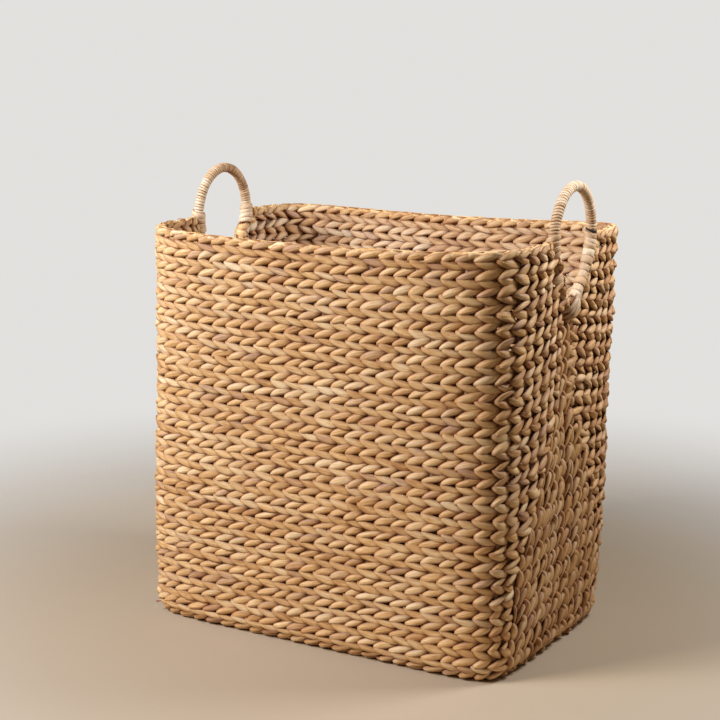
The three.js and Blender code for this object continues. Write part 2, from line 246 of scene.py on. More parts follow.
low_ring, LOW_LEVEL = band_outline("weft_outer_01")
high_ring, HIGH_LEVEL = band_outline("weft_outer_10")
low_line, high_line = smooth_closed(low_ring), smooth_closed(high_ring)
print("corners:", len(low_ring), len(high_ring), "levels mm:", LOW_LEVEL / MM, HIGH_LEVEL / MM)


# %% Tables with the same number of steps between all stakes
def resample(line, at):
    closed = np.vstack([line, line[:1]])
    return np.column_stack([np.interp(at, np.arange(len(closed)), closed[:, k]) for k in (0, 1)])


def steps_between(line):
    return np.linalg.norm(np.roll(line, -1, 0) - line, axis=1)


run = np.concatenate([[0], np.cumsum(steps_between(low_line) + steps_between(high_line))])
even = np.interp(np.linspace(0, run[-1], STAKES * SAMPLES + 1)[:-1], run, np.arange(len(run)))
LOW_LINE, HIGH_LINE = resample(low_line, even), resample(high_line, even)


def outward(line):
    along = np.roll(line, -3, 0) - np.roll(line, 3, 0)
    along /= np.linalg.norm(along, axis=1, keepdims=True)
    return np.column_stack([along[:, 1], -along[:, 0]])


LOW_OUT, HIGH_OUT = outward(LOW_LINE), outward(HIGH_LINE)
PITCH = run[-1] / 2 / STAKES
MOUTH_HALF = (HIGH_LINE[:, 0].max() - HIGH_LINE[:, 0].min()) / 2
print("stake pitch mm:", round(PITCH / MM, 2))


# %% The wall function
def from_table(table, u):
    place = (u % STAKES) * SAMPLES
    first = np.floor(place).astype(int)
    share = (place - first)[..., None]
    count = len(table)
    return table[first % count] * (1 - share) + table[(first + 1) % count] * share


def wall(u, height, out):
    """World positions. u is in stakes, height and out, from the wall's middle, in metres."""
    level = np.maximum(height, FOOT_ROUND)
    share = ((level - LOW_LEVEL) / (HIGH_LEVEL - LOW_LEVEL))[..., None]
    place = from_table(LOW_LINE, u) * (1 - share) + from_table(HIGH_LINE, u) * share
    normal = from_table(LOW_OUT, u) * (1 - share) + from_table(HIGH_OUT, u) * share
    normal /= np.linalg.norm(normal, axis=-1, keepdims=True)
    belly = BELLY * np.sin(np.pi * np.clip(level / BELLY_TOP, 0, 1)) ** 2
    depth = WALL_MIDDLE - out
    turn = np.clip((FOOT_ROUND - height) / FOOT_ROUND, 0, np.pi / 2)
    past = np.maximum(FOOT_ROUND - height - FOOT_ROUND * np.pi / 2, 0)
    reach = FOOT_ROUND - depth
    inset = np.where(height < FOOT_ROUND, FOOT_ROUND - reach * np.cos(turn) + past, depth)
    z = np.where(height < FOOT_ROUND, FOOT_ROUND - reach * np.sin(turn), height)
    place = place - normal * (inset - belly)[..., None]
    centre = (HIGH_LINE[:, 0].max() + HIGH_LINE[:, 0].min()) / 2
    rise = END_RISE * ((place[..., 0] - centre) / MOUTH_HALF) ** 2 * (level / WALL_HEIGHT) ** 2
    return np.concatenate([place, (z + rise)[..., None]], axis=-1)


print("front middle of the rim:", wall(np.array(60.0), np.array(WALL_HEIGHT), np.array(0.0)))

# %% [markdown]
# ## One stitch
# All that shows of a strand between two crossings is a broad slanted leaf. Its blunt end lies on top
# of the leaf before, it swells over the stake, and its other end tapers away under the next leaf.
# One such leaf is made from a cylinder: it is cut into rings, and each ring is widened,
# moved and turned. The rows copy it thousands of times, so it has only a few dozen faces. The rope
# of the border and the canes start from the same ringed cylinder.

# %% A cylinder cut into rings
def ringed_cylinder(sides, rings, radius=1.0, twist=0.0):
    """A cylinder along x with a ring of points at each given place, left in edit mode."""
    deselect()
    bpy.ops.mesh.primitive_cylinder_add(
        vertices=sides, radius=radius, depth=rings[-1] - rings[0], rotation=(0, math.pi / 2, 0))
    shape = bpy.context.object
    bpy.ops.object.transform_apply(rotation=True)
    bpy.ops.object.mode_set(mode="EDIT")
    bpy.ops.transform.rotate(value=twist, orient_axis="X", center_override=(0, 0, 0))
    bpy.ops.transform.translate(value=((rings[0] + rings[-1]) / 2, 0, 0))
    for at in rings[1:-1]:
        bpy.ops.mesh.select_all(action="SELECT")
        bpy.ops.mesh.bisect(plane_co=(at, 0, 0), plane_no=(1, 0, 0))
    bpy.ops.mesh.select_mode(type="VERT")
    return shape


def select_ring(shape, at):
    """Only the ring of points at one place is selected."""
    bpy.ops.mesh.select_all(action="DESELECT")
    bpy.ops.object.mode_set(mode="OBJECT")
    for vertex in shape.data.vertices:
        vertex.select = abs(vertex.co.x - at) < 0.01
    bpy.ops.object.mode_set(mode="EDIT")


def shape_ring(shape, at, wide, thick, up, out, turn):
    """Widen one ring, turn it about the length and move it up and out."""
    select_ring(shape, at)
    bpy.ops.transform.resize(value=(1, wide, thick), center_override=(at, 0, 0))
    select_ring(shape, at)
    bpy.ops.transform.rotate(value=turn, orient_axis="X", center_override=(at, 0, 0))
    select_ring(shape, at)
    bpy.ops.transform.translate(value=(0, up, out))


def taken_up(shape):
    """The points and faces of a finished shape, ready to be copied; the shape itself goes."""
    bpy.ops.object.mode_set(mode="OBJECT")
    points = np.array([v.co for v in shape.data.vertices])
    faces = [list(p.vertices) for p in shape.data.polygons]
    bpy.data.objects.remove(shape)
    return points, faces


print("tools for ringed shapes:", ringed_cylinder.__name__, shape_ring.__name__, taken_up.__name__)

# %% Make the stitch
STITCH_SIDES = 8
# Each ring: its place in stakes, half width and half thickness, the place up and out, in mm, and
# the turn in degrees. The first end is blunt and lies on top, the last one tapers and lies below.
STITCH_RINGS = (
    (-0.62, 1.2, 1.3, 5.4, 2.2, -27),
    (-0.54, 2.8, 2.4, 4.8, 4.7, -23),
    (-0.39, 4.4, 3.1, 3.4, 5.6, -16),
    (-0.22, 5.4, 3.1, 2.0, 5.5, -9),
    (0.00, 5.9, 2.9, 0.4, 4.9, -1),
    (0.22, 5.9, 2.6, -1.0, 4.0, 4),
    (0.42, 5.4, 2.2, -2.0, 2.9, 8),
    (0.61, 4.4, 1.8, -2.9, 1.5, 10),
    (0.86, 2.3, 1.3, -4.0, -0.4, 12),
)
stitch = ringed_cylinder(
    STITCH_SIDES, [ring[0] for ring in STITCH_RINGS], twist=math.pi / STITCH_SIDES)
for at, wide, thick, up, out, turn in STITCH_RINGS:
    shape_ring(stitch, at, wide * MM, thick * MM, up * MM, out * MM, math.radians(turn))
LEAF_POINTS, LEAF_FACES = taken_up(stitch)
print("stitch:", len(LEAF_POINTS), "points", len(LEAF_FACES), "faces")
print("stitch reach mm:", np.round(LEAF_POINTS.min(0) / MM, 1), np.round(LEAF_POINTS.max(0) / MM, 1))


# %% Turn arrays into a piece
PRESSED = 2.5 * MM


def rest_on_floor(points):
    """Strands near the floor are pressed flat against it, and none goes below."""
    z = points[:, 2]
    points[:, 2] = np.where(z < PRESSED, PRESSED * np.exp((z - PRESSED) / PRESSED), z)


def make_piece(name, points, faces, grain, leaf, material):
    """A piece with smooth faces and two attributes that its material reads."""
    rest_on_floor(points)
    mesh = bpy.data.meshes.new(name)
    mesh.from_pydata(points.tolist(), [], faces)
    mesh.polygons.foreach_set("use_smooth", np.ones(len(mesh.polygons), bool))
    mesh.attributes.new("grain", "FLOAT_VECTOR", "POINT").data.foreach_set("vector", grain.ravel())
    tone = mesh.attributes.new("leaf", "FLOAT_COLOR", "POINT")
    tone.data.foreach_set("color", leaf.ravel())
    mesh.materials.append(material)
    piece = bpy.data.objects.new(name, mesh)
    bpy.context.scene.collection.objects.link(piece)
    return piece


def hand_over(piece, node):
    """The piece rides with the basket and stands for its solid."""
    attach(piece, "root")
    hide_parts(node)


def copies_of(faces, count, points_each):
    """Face lists for a number of copies of one shape."""
    return [[v + n * points_each for v in face] for n in range(count) for face in faces]


print("each piece is one mesh, with the attributes grain and leaf")

# %% [markdown]
# ## Leaf material
# Dried leaf is golden, with browner and paler strands, fine fibres along its length, and a soft
# satin skin. The pattern follows the strand: the grain attribute gives the place along and across
# the leaf, and the leaf attribute its own shade, its stain, and how much painted shade darkens it
# where it sinks between its neighbours.

# %% Leaf material
def leaf_material(name, dark, middle, pale, blush, roughness=0.62, painted_crevice_shade=(0.25, 0.08, 0.022)):
    """Dark, middle and pale leaf, a blush where it is stained, and painted shade where it is sunk."""
    material, shader, add, link = new_material(name)
    grain = add("ShaderNodeAttribute", attribute_name="grain")
    leaf = add("ShaderNodeAttribute", attribute_name="leaf")
    part = add("ShaderNodeSeparateColor", {"Color": leaf.outputs["Color"]})

    def pattern(stretch, detail, breadth=0.5):
        """Noise on the leaf; stretch is how fast it changes along, across and from leaf to leaf."""
        place = add("ShaderNodeMapping", {"Vector": grain.outputs["Vector"], "Scale": stretch})
        return add("ShaderNodeTexNoise", {
            "Vector": place.outputs["Vector"], "Scale": 1.0, "Detail": detail, "Roughness": breadth,
        }).outputs["Fac"]

    def calc(operation, first, second):
        return add("ShaderNodeMath", {0: first, 1: second}, operation=operation).outputs[0]

    fibre = pattern((0.04, 0.42, 1), 4, 0.6)
    cloud = pattern((0.09, 0.16, 1), 3)
    wrinkle = pattern((0.08, 0.42, 1), 2)
    both = calc("ADD", calc("MULTIPLY", fibre, 0.95), calc("MULTIPLY", cloud, 0.45))
    shade = calc("ADD", calc("SUBTRACT", both, 0.7), part.outputs["Red"])
    ramp = add("ShaderNodeValToRGB", {"Fac": shade})
    ramp.color_ramp.elements[0].position = 0.12
    ramp.color_ramp.elements[0].color = (*dark, 1)
    ramp.color_ramp.elements[1].position = 0.86
    ramp.color_ramp.elements[1].color = (*pale, 1)
    ramp.color_ramp.elements.new(0.48).color = (*middle, 1)
    patchy = add("ShaderNodeMapRange", {"Value": fibre, "From Min": 0.38, "From Max": 0.62})
    stain = calc("MULTIPLY", patchy.outputs["Result"], part.outputs["Green"])
    stained = blended(add, stain, ramp.outputs["Color"], (*blush, 1))
    # Painted shade: where the leaf's blue value falls, at its sunk edges and ends, its colour is
    # darkened towards the dark crevice tint.
    sunk = blended(add, part.outputs["Blue"], (*painted_crevice_shade, 1), (1, 1, 1, 1))
    link(blended(add, 1.0, stained, sunk, blend_type="MULTIPLY"), "Base Color")
    fine = add("ShaderNodeBump", {"Height": fibre, "Strength": 0.6, "Distance": 0.4 * MM})
    folds = add("ShaderNodeBump", {
        "Height": wrinkle, "Strength": 0.7, "Distance": 1.1 * MM, "Normal": fine.outputs["Normal"]})
    link(folds.outputs["Normal"], "Normal")
    rough = add("ShaderNodeMapRange", {
        "Value": fibre, "To Min": roughness - 0.1, "To Max": roughness + 0.14})
    link(rough.outputs["Result"], "Roughness")
    shader.inputs["Specular IOR Level"].default_value = 0.5
    return material


straw = leaf_material(
    "straw", (0.46, 0.20, 0.06), (0.79, 0.48, 0.19), (0.98, 0.78, 0.475), (0.50, 0.28, 0.17), 0.56)
# Painted light: the inside is the same leaf as the outside, painted paler and less saturated for the
# brighter light that falls on the inner wall.
inner_straw = leaf_material(
    "inner_straw", (0.46, 0.21, 0.08), (0.81, 0.52, 0.25), (0.97, 0.81, 0.56), (0.52, 0.29, 0.20))
peel = leaf_material(
    "peel", (0.40, 0.21, 0.10), (0.66, 0.43, 0.23), (0.86, 0.70, 0.48), (0.45, 0.27, 0.16), 0.55)
print("leaf materials ready")

# %% [markdown]
# ## Rows of stitches
# A row is the stitch, copied from stake to stake. Real strands are never even, so each copy is a
# little wider or thinner, the crossings wander by a millimetre, and the whole row rises and falls
# slightly. Odd rows are crossed the other way. A twist looks the same from both sides, so a stitch on
# the inside is the outside stitch, turned to face the other way.

# %% Shades along a row
LEAF_SHADE = 0.52
SAME_LEAF = 5  # stitches that one leaf lasts
STAINED = 0.10  # the share of stitches with a stain


def leaf_shades(count):
    """Shade, stain and a third value of 1, no painted shade, for each stitch; a strand keeps its shade
    for a while.
    """
    lasting = np.repeat(rng.normal(0, 0.075, count // SAME_LEAF + 2), SAME_LEAF)[:count]
    lasting = np.roll(lasting, rng.integers(SAME_LEAF))
    shade = LEAF_SHADE + lasting + rng.normal(0, 0.06, count)
    stain = np.where(rng.random(count) < STAINED, rng.uniform(0.4, 1.0, count), 0)
    return np.column_stack([shade, stain + rng.uniform(0, 0.25, count), np.ones(count)])


# Slow waves that let a row rise and fall, and the wall swell and sink
WAVES = [(rng.integers(1, 9), rng.uniform(0, 2 * np.pi), rng.uniform(0.4, 1)) for _ in range(6)]


def wave(u, height, salt):
    total = 0
    for turns, start, size in WAVES:
        angle = 2 * np.pi * turns * u / STAKES + start + height * (14 + 9 * size) + salt
        total = total + size * np.sin(angle)
    return total / 3


print("slow waves round the wall:", [int(turns) for turns, _, _ in WAVES])

# %% The parts of a stitch that show
COLUMN_DRIFT = rng.normal(0, 0.035, STAKES)
RINGS = np.array(STITCH_RINGS)
LEAF_UP = np.interp(LEAF_POINTS[:, 0], RINGS[:, 0], RINGS[:, 3] * MM)
LEAF_OUT = np.interp(LEAF_POINTS[:, 0], RINGS[:, 0], RINGS[:, 4] * MM)
LEAF_HALF = np.interp(LEAF_POINTS[:, 0], RINGS[:, 0], RINGS[:, 1] * MM)
LEAF_EDGE = np.hypot(LEAF_POINTS[:, 1] - LEAF_UP, LEAF_POINTS[:, 2] - LEAF_OUT) / LEAF_HALF
LEAF_TAIL = np.clip((LEAF_POINTS[:, 0] - 0.45) / 0.3, 0, 1)
LEAF_BUTT = np.clip(-LEAF_POINTS[:, 0] / 0.1 - 5.6, 0, 1)
# Painted shade: 1 on the open crest of a stitch, falling towards its edges, its tail and its blunt end,
# where it sinks between neighbours; the material darkens the colour there.
LEAF_UNSHADED = (1 - 0.85 * np.clip(LEAF_EDGE, 0, 1) ** 4) * (1 - 0.8 * (LEAF_TAIL + LEAF_BUTT))
MIRRORED_FACES = [face[::-1] for face in LEAF_FACES]
print("crest of the leaf:", round(LEAF_UNSHADED.max(), 2), "sunk ends:", round(LEAF_UNSHADED.min(), 2))

# %% The wall as hands make it
LIFT = 1.3 * MM
SWELL = 1.0 * MM
GROOVE = 3.5 * MM
GROOVE_HALF = 0.75  # in stakes
GROOVE_FOOT = 180 * MM
GROOVE_FULL = 340 * MM
ARCH = 15 * MM
ARCH_HALF = 3.4  # in stakes
ARCH_LEVELS = (60 * MM, 260 * MM, 480 * MM, 544 * MM)
ARCH_SHARES = (0, 1, 1, 0)
END_HALF = 7.5  # in stakes, half of a narrow end


def from_end(u):
    """Steps along the wall, in stakes, from the middle of the nearer end."""
    return np.abs((u + STAKES / 4) % (STAKES / 2) - STAKES / 4)


def on_wall(u, height, out):
    """The wall, with the slow waves of hand work and the groove down the middle of each end."""
    lift = wave(u, height, 0.0) * LIFT
    swell = wave(u, height * 0.6, 2.0) * SWELL
    level = np.clip((height - GROOVE_FOOT) / (GROOVE_FULL - GROOVE_FOOT), 0, 1)
    groove = GROOVE * np.exp(-(from_end(u) / GROOVE_HALF) ** 2) * level
    return wall(u, height + lift, out + swell - groove)


def arched(u, height):
    """The height of a level row, which rises towards the middle of each end."""
    fade = np.interp(height, ARCH_LEVELS, ARCH_SHARES)
    return height + ARCH * np.exp(-(from_end(u) / ARCH_HALF) ** 2) * fade


def unruly(centre):
    """On the two narrow ends the strands are short and lie less evenly."""
    return np.where(from_end(centre) < END_HALF, 2.0, 1.0)[:, None]


print("rows rise mm:", ARCH / MM, "groove mm:", GROOVE / MM)


# %% Place the stitches of one row
def lay_row(gaps, slant, side, where, size=(1, 1), loose=None):
    """Place a row. gaps are its crossings, slant is 1 for a falling stitch, side is 1 outside,
    and where(along, up, out) gives the place in the world."""
    count = len(gaps) - 1
    centre, half = (gaps[1:] + gaps[:-1]) / 2, (gaps[1:] - gaps[:-1]) / 2
    loose = unruly(centre) if loose is None else loose
    each = (count, 1)
    wide = np.clip(rng.normal(1.0, 0.08, each) ** loose, 0.72, 1.3)
    thick = np.clip(rng.normal(1.0, 0.12, each) ** loose, 0.65, 1.45) * size[1]
    roll, bow = rng.normal(0, 0.11, each) * loose, rng.normal(0, 0.6 * MM, each) * loose
    x = LEAF_POINTS[None, :, 0]
    across = (LEAF_POINTS[:, 1] - LEAF_UP) * wide
    through = (LEAF_POINTS[:, 2] - LEAF_OUT) * thick
    v = LEAF_UP + across * np.cos(roll) - through * np.sin(roll) + bow * (1 - 3 * x**2)
    v = (v + rng.normal(0, 0.3 * MM, each) * loose) * size[0]
    d = LEAF_OUT * (0.93 + 0.07 * thick) + across * np.sin(roll) + through * np.cos(roll)
    d = d + rng.normal(0, 0.25 * MM, each) * loose
    if slant < 0:
        v = -v
    if side < 0:
        x, d = -x, -d
    along = centre[:, None] + (x + rng.normal(0, 0.02, each)) * 2 * half[:, None]
    place = where(along, v, d)
    grain = np.stack([along * PITCH / MM + rng.uniform(0, 90), (across + through * 0.4) / MM,
                      np.broadcast_to(rng.uniform(0, 400, each), along.shape)], -1)
    shades = np.concatenate([leaf_shades(count), np.ones(each)], 1)
    shades = np.repeat(shades[:, None], place.shape[1], 1)
    # painted shade where the stitch sinks at its edges and ends
    shades[..., 2] = LEAF_UNSHADED
    return place, grain, shades, slant < 0


def join_rows(rows):
    """One list of points, faces, grain and shades from several rows."""
    faces, start = [], 0
    for place, _, _, mirrored in rows:
        each = copies_of(MIRRORED_FACES if mirrored else LEAF_FACES, len(place), place.shape[1])
        faces += [[v + start for v in face] for face in each]
        start += place.shape[0] * place.shape[1]
    flat = [np.concatenate([row[k].reshape(-1, width) for row in rows])
            for k, width in ((0, 3), (1, 3), (2, 4))]
    return flat[0], faces, flat[1], flat[2]


print("a row copies", len(LEAF_FACES), "faces for each stitch")


# %% [markdown]
# ## The notches and the gussets
# Near the top a row stops on each side of a handle and turns back round its last stake. The notch
# follows the leg of the hoop. One leg of each hoop stays free, and the rows go over the other and
# swell there. Below the point of the hoop the end wall is a gusset: the rows of the base come up
# round the foot and stand upright. The gusset is as wide as the end at the floor, narrows to a
# neck, and runs as a narrow band up to the hoop. The level rows rise towards it and end on it.

# %% The line of a leg, and how wide the notch is
HOOP_HALF_WIDTH = 60 * MM
HOOP_WIDEST_Z = 566 * MM
HOOP_RISE = 68 * MM
HOOP_DROP = 92 * MM
HANDLE_RADIUS = 7 * MM
LEG_HALF_GAP = HANDLE_RADIUS + 0.15 * MM
NOTCH_OFFSET = 10.1 * MM


def leg_point(share, offset):
    """One leg from the point of the hoop, share 0, to its widest level, share 1."""
    swing = HOOP_HALF_WIDTH - LEG_HALF_GAP
    angle = math.pi / 2 * share
    across, slope = LEG_HALF_GAP + swing * math.sin(angle), swing * math.pi / 2 * math.cos(angle)
    size = math.hypot(HOOP_DROP, slope)
    return (across + offset * HOOP_DROP / size,
            HOOP_WIDEST_Z + (share - 1) * HOOP_DROP - offset * slope / size)


def leg_edge(offset):
    """The line that runs beside a leg, at a distance outwards, as places across and up."""
    return np.array([leg_point(k / 20, offset) for k in range(21)])


NOTCH_EDGE = leg_edge(NOTCH_OFFSET - 2 * MM)
COVER_EDGE = leg_edge(-10 * MM)
LEG_LINE = leg_edge(0)
NOTCH_FLOOR = NOTCH_EDGE[0, 1]
print("notch floor mm:", round(NOTCH_FLOOR / MM, 1))

# %% The edges of the gusset and of the rows
LEG_SWELL = 5.5 * MM
LEG_SWELL_HALF = 11 * MM
LEG_SWELL_LEVELS = (462 * MM, 480 * MM, 545 * MM, 558 * MM)
GUSSET_NECK = 345 * MM
GUSSET_BAND = 21.5 * MM  # half the width of the band above the neck
GUSSET_SPREAD = 0.56  # how fast it widens below the neck
GUSSET_WIDEST = 141 * MM
GUSSET_ROW = 11 * MM
GUSSET_FAN = 0.25
GUSSET_COUNT = int(GUSSET_WIDEST / (1 + GUSSET_FAN) / GUSSET_ROW)  # rows on each side of the middle
EDGE_REACH = 11  # in stakes, how far from the middle of an end an edge can be


def gusset_half(height):
    """Half the width of the gusset at a height."""
    spread = GUSSET_BAND + np.maximum(GUSSET_NECK - height, 0) * GUSSET_SPREAD
    return np.minimum(spread, GUSSET_WIDEST)


def row_edge(end, height, sign):
    """Where a level row meets the notch or the gusset; end is 0, STAKES // 2 or STAKES."""
    u = end + sign * np.linspace(0, EDGE_REACH, 550)
    level = arched(u, height)
    place = wall(u, level, np.zeros_like(u))
    covered = sign < 0 and height < WEAVE_TOP - ROW
    edge = COVER_EDGE if covered else NOTCH_EDGE
    in_notch = np.interp(place[:, 2], edge[:, 1], edge[:, 0])
    want = np.where(place[:, 2] > NOTCH_FLOOR, in_notch, gusset_half(level))
    return u[np.argmax(np.abs(place[:, 1]) > want)]


def over_leg(u, height):
    """How far the outer rows swell where they go over the covered leg of a hoop."""
    place = wall(u, height, np.zeros_like(u))
    away = np.abs(place[..., 1]) - np.interp(place[..., 2], LEG_LINE[:, 1], LEG_LINE[:, 0])
    level = np.interp(place[..., 2], LEG_SWELL_LEVELS, [0, 1, 1, 0])
    covered = (u % (STAKES / 2)) > STAKES / 4
    return LEG_SWELL * np.exp(-(away / LEG_SWELL_HALF) ** 2) * level * covered


def row_gaps(first, last, inset):
    """The crossings of a level row between two edges, one in each gap between stakes."""
    stakes = np.arange(math.floor(first + 0.8), math.ceil(last - 0.8) + 2)
    gaps = stakes - 0.5 + COLUMN_DRIFT[stakes % STAKES] + rng.normal(0, 0.05, len(stakes))
    ragged = rng.uniform(-0.25, 0.15, 2) if inset < 0 else (0, 0)
    gaps[0], gaps[-1] = first + inset + ragged[0], last - inset - ragged[1]
    return gaps


def row_parts(height):
    """The back and the front part of a level row."""
    level = wall(np.array([0.0]), arched(np.array([0.0]), height), np.array([0.0]))[0, 2]
    inset = 0.12 if level > NOTCH_FLOOR else -0.42
    parts = []
    for name, start, stop in (("back", 0, STAKES // 2), ("front", STAKES // 2, STAKES)):
        parts.append((name, row_gaps(row_edge(start, height, 1), row_edge(stop, height, -1), inset)))
    return parts, inset


print("upright rows in each gusset:", 2 * GUSSET_COUNT)


# %% The upright rows of the gussets
GUSSET_FOOT = -15 * MM  # the height, carried on round the bend, at which the upright rows end
GUSSET_FOOT_INSIDE = 9 * MM
GUSSET_THICK = 1.05
GUSSET_LOOSE = 2.2  # how unevenly the upright rows lie


def fan(height):
    """The upright rows spread below the neck."""
    return 1 + GUSSET_FAN * np.clip(1 - height / GUSSET_NECK, 0, 1)


def gusset_rows(end, side):
    """Upright rows from the edge of the gusset down round the foot, with each stitch's height."""
    rows = []
    heights = np.linspace(NOTCH_FLOOR - 2 * MM, 20 * MM, 500)
    for n in range(-GUSSET_COUNT, GUSSET_COUNT):
        offset = (n + 0.5) * GUSSET_ROW
        fits = (abs(offset) + GUSSET_ROW * 0.42) * fan(heights) <= gusset_half(heights)
        top = heights[np.argmax(fits)] + 2 * MM
        bottom = GUSSET_FOOT if side > 0 else GUSSET_FOOT_INSIDE
        stitches = max(2, round((top - bottom) / PITCH))
        gaps = np.linspace(0, (top - bottom) / PITCH, stitches + 1)
        gaps[1:-1] += rng.normal(0, 0.04, stitches - 1) + 0.25 * (n % 2)

        def where(along, up, out):
            height = top - along * PITCH
            return on_wall(end + (offset + up) * fan(height) / PITCH, height, out)

        slant, size = 1 if n % 2 else -1, (GUSSET_ROW / ROW, GUSSET_THICK)
        row = lay_row(gaps, slant, side, where, size, GUSSET_LOOSE)
        middles = top - (gaps[1:] + gaps[:-1]) / 2 * PITCH
        rows.append((row, middles))
    return rows


upright = {side: gusset_rows(0, side) + gusset_rows(STAKES // 2, side) for side in (1, -1)}
print("upright rows outside and inside:", len(upright[1]), len(upright[-1]))

# %% Turn a strand back round the last stake
TURN_SIDES = 8
TURN_RINGS = 9
TURN_SWING = 112  # in degrees, to each side
TURN_REACH = 4.9 * MM
TURN_THICK = 2.9 * MM
TURN_SLANT = 1.2 * MM


def turn_back(height, edge, sign):
    """A strand that goes round the edge of the wall; sign is the side on which the wall lies."""
    swing = np.radians(np.linspace(-TURN_SWING, TURN_SWING, TURN_RINGS))[:, None]
    around = (2 * np.pi * np.arange(TURN_SIDES) / TURN_SIDES)[None]
    thick = TURN_THICK * rng.uniform(0.9, 1.15)
    tall = ROW / 2 * rng.uniform(0.92, 1.12)
    reach = TURN_REACH + thick * np.cos(around)
    out = reach * np.sin(swing)
    ahead = reach * np.cos(swing) * 0.9
    u = edge + sign * (4.0 * MM - ahead) / PITCH
    v = tall * np.sin(around) + swing / 2 * TURN_SLANT * rng.choice([-1, 1])
    place = wall(u + 0 * v, arched(u, height) + v, out + 0 * v)
    grain = np.stack([swing * 6 + 0 * v + rng.uniform(0, 300), tall / MM * np.sin(around) + 0 * swing,
                      np.full(v.shape, rng.uniform(0, 400))], -1)
    shade = np.concatenate([leaf_shades(6)[:1], [[1]]], 1)
    faces = []
    for r in range(TURN_RINGS - 1):
        for s in range(TURN_SIDES):
            a, b = r * TURN_SIDES + s, r * TURN_SIDES + (s + 1) % TURN_SIDES
            faces.append([a, b, b + TURN_SIDES, a + TURN_SIDES])
    faces.append(list(range(TURN_SIDES))[::-1])
    faces.append([(TURN_RINGS - 1) * TURN_SIDES + s for s in range(TURN_SIDES)])
    if sign > 0:
        faces = [face[::-1] for face in faces]
    points = place.reshape(-1, 3)
    return points, faces, grain.reshape(-1, 3), np.repeat(shade, len(points), 0)


def join_pieces(pieces):
    """Several closed shapes as one list of points, faces, grain and shades."""
    faces, start = [], 0
    for points, some_faces, _, _ in pieces:
        faces += [[v + start for v in face] for face in some_faces]
        start += len(points)
    return (np.concatenate([p[0] for p in pieces]), faces,
            np.concatenate([p[2] for p in pieces]), np.concatenate([p[3] for p in pieces]))


print("a turning strand:", TURN_RINGS, "rings of", TURN_SIDES)


# %% Weave the bands, outside and inside
def row_height(row):
    """The middle of a row; rows are counted down from the rim."""
    return WEAVE_TOP - (row + 0.5) * ROW


def stitches_between(rows, low, high):
    """The stitches of the upright rows whose middles lie between two heights."""
    chosen = []
    for (place, grain, shades, mirrored), middles in rows:
        inside = (middles >= low) & (middles < high)
        if inside.any():
            chosen.append((place[inside], grain[inside], shades[inside], mirrored))
    return chosen


def weave_band(band):
    """All rows of one solid band, sorted by layer and by front and back."""
    made = {}
    for k in range(ROWS_PER_BAND):
        row = (BANDS - band) * ROWS_PER_BAND + k
        height, slant = row_height(row), 1 if row % 2 == 0 else -1
        plump = (rng.normal(1.0, 0.05), rng.normal(1.0, 0.05))
        parts, inset = row_parts(height)
        for name, gaps in parts:
            for side, layer in ((1, "outer"), (-1, "inner")):
                def where(along, up, out):
                    level = arched(along, height) + up
                    return on_wall(along, level, out + over_leg(along, level) * (side > 0))
                made.setdefault((layer, name), []).append(lay_row(gaps, slant, side, where, plump))
            if inset > 0:
                for edge, sign in ((gaps[0] - inset, 1), (gaps[-1] + inset, -1)):
                    made.setdefault(("turns", name), []).append(turn_back(height, edge, sign))
    low = FOOT_ROUND + (band - 1) * ROWS_PER_BAND * ROW
    for side, layer in ((1, "outer"), (-1, "inner")):
        more = stitches_between(upright[side], low, low + ROWS_PER_BAND * ROW)
        made.setdefault((layer, "front"), []).extend(more)
    return made


# The inner layer takes the copy of the leaf painted paler for the light inside.
LAYERS = {"outer": ("straw", straw), "inner": ("inner_straw", inner_straw)}
for band in range(1, BANDS + 1):
    made = weave_band(band)
    split = band == BANDS
    for layer, (slot, material) in LAYERS.items():
        groups = {}
        for (kind, part), rows in made.items():
            if kind == "turns" and layer == "outer":
                groups.setdefault(f"_{part}" if split else "", []).extend(rows)
            elif kind == layer:
                groups.setdefault(f"_{part}" if split else "", []).append(join_rows(rows))
        for suffix, pieces in groups.items():
            piece = make_piece(f"weave_{layer}_{band:02d}{suffix}", *join_pieces(pieces), material)
            hand_over(piece, f"weft_{layer}_{band:02d}{suffix}")

# %% [markdown]
# ## The foot
# The rows go on round the bend at the foot, where they belong to the base. The flat of the base is
# twined in straight rows from end to end, below and above a layer of canes. They go on from the
# upright rows of the gussets, as wide as those are at the foot.

# %% Rows round the bend
BEND_ROWS = 4
under_rows = stitches_between(upright[1], -1, FOOT_ROUND)
for row in range(BANDS * ROWS_PER_BAND, BANDS * ROWS_PER_BAND + BEND_ROWS):
    slant, height = 1 if row % 2 == 0 else -1, row_height(row)
    for name, gaps in row_parts(height)[0]:
        under_rows.append(lay_row(gaps, slant, 1, lambda along, up, out: wall(along, height + up, out)))
print("rows round the bend:", BEND_ROWS)

# %% Straight rows of the base
UNDER_LEVEL = 8.6 * MM
OVER_LEVEL = 14.2 * MM
OVER_LONGER = 8 * MM
BASE_ROW = GUSSET_ROW * (1 + GUSSET_FAN)


def base_end(end, offset):
    """How far along the base an upright row ends."""
    return wall(np.array([end + offset / PITCH]), np.array([GUSSET_FOOT]), np.array([0.0]))[0, 0]


